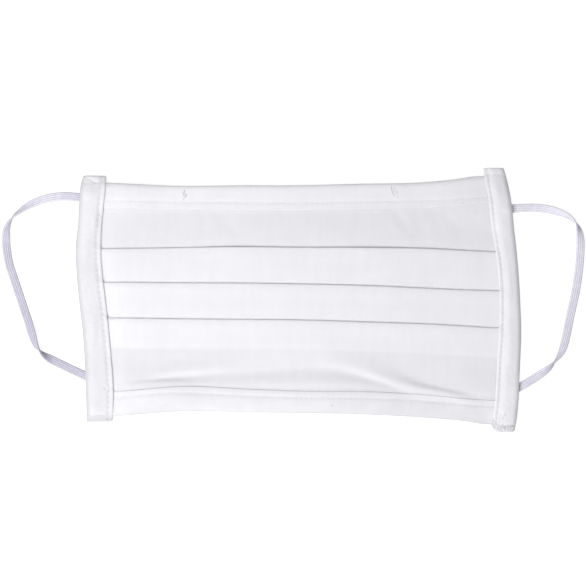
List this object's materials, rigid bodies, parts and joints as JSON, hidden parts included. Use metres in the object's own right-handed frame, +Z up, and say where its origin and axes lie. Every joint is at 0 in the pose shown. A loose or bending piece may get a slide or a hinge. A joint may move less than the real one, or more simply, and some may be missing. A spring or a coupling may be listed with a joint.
{
  "type": "pleated cloth face mask",
  "caption": "White pleated cloth face mask lying face up, with hemmed long edges, folded side casings and flat elastic ear loops.",
  "frame": {"origin": "under the middle of the cloth body, ear loops left out, on the surface that the mask lies on", "axes": "+X across the face from one ear to the other, +Y towards the nose edge, +Z up out of the shown face"},
  "size_m": [0.233, 0.1054, 0.0066],
  "materials": {
    "panel_cotton": "plain woven white cotton, matt",
    "casing_cotton": "thick soft white cotton binding, matt",
    "elastic": "flat ribbed white elastic, slight sheen"
  },
  "bodies": {
    "root": {"pleated_panel": "panel_cotton", "casing_left": "casing_cotton", "casing_right": "casing_cotton", "ear_loop_left": "elastic", "ear_loop_right": "elastic"}
  },
  "joints": []
}
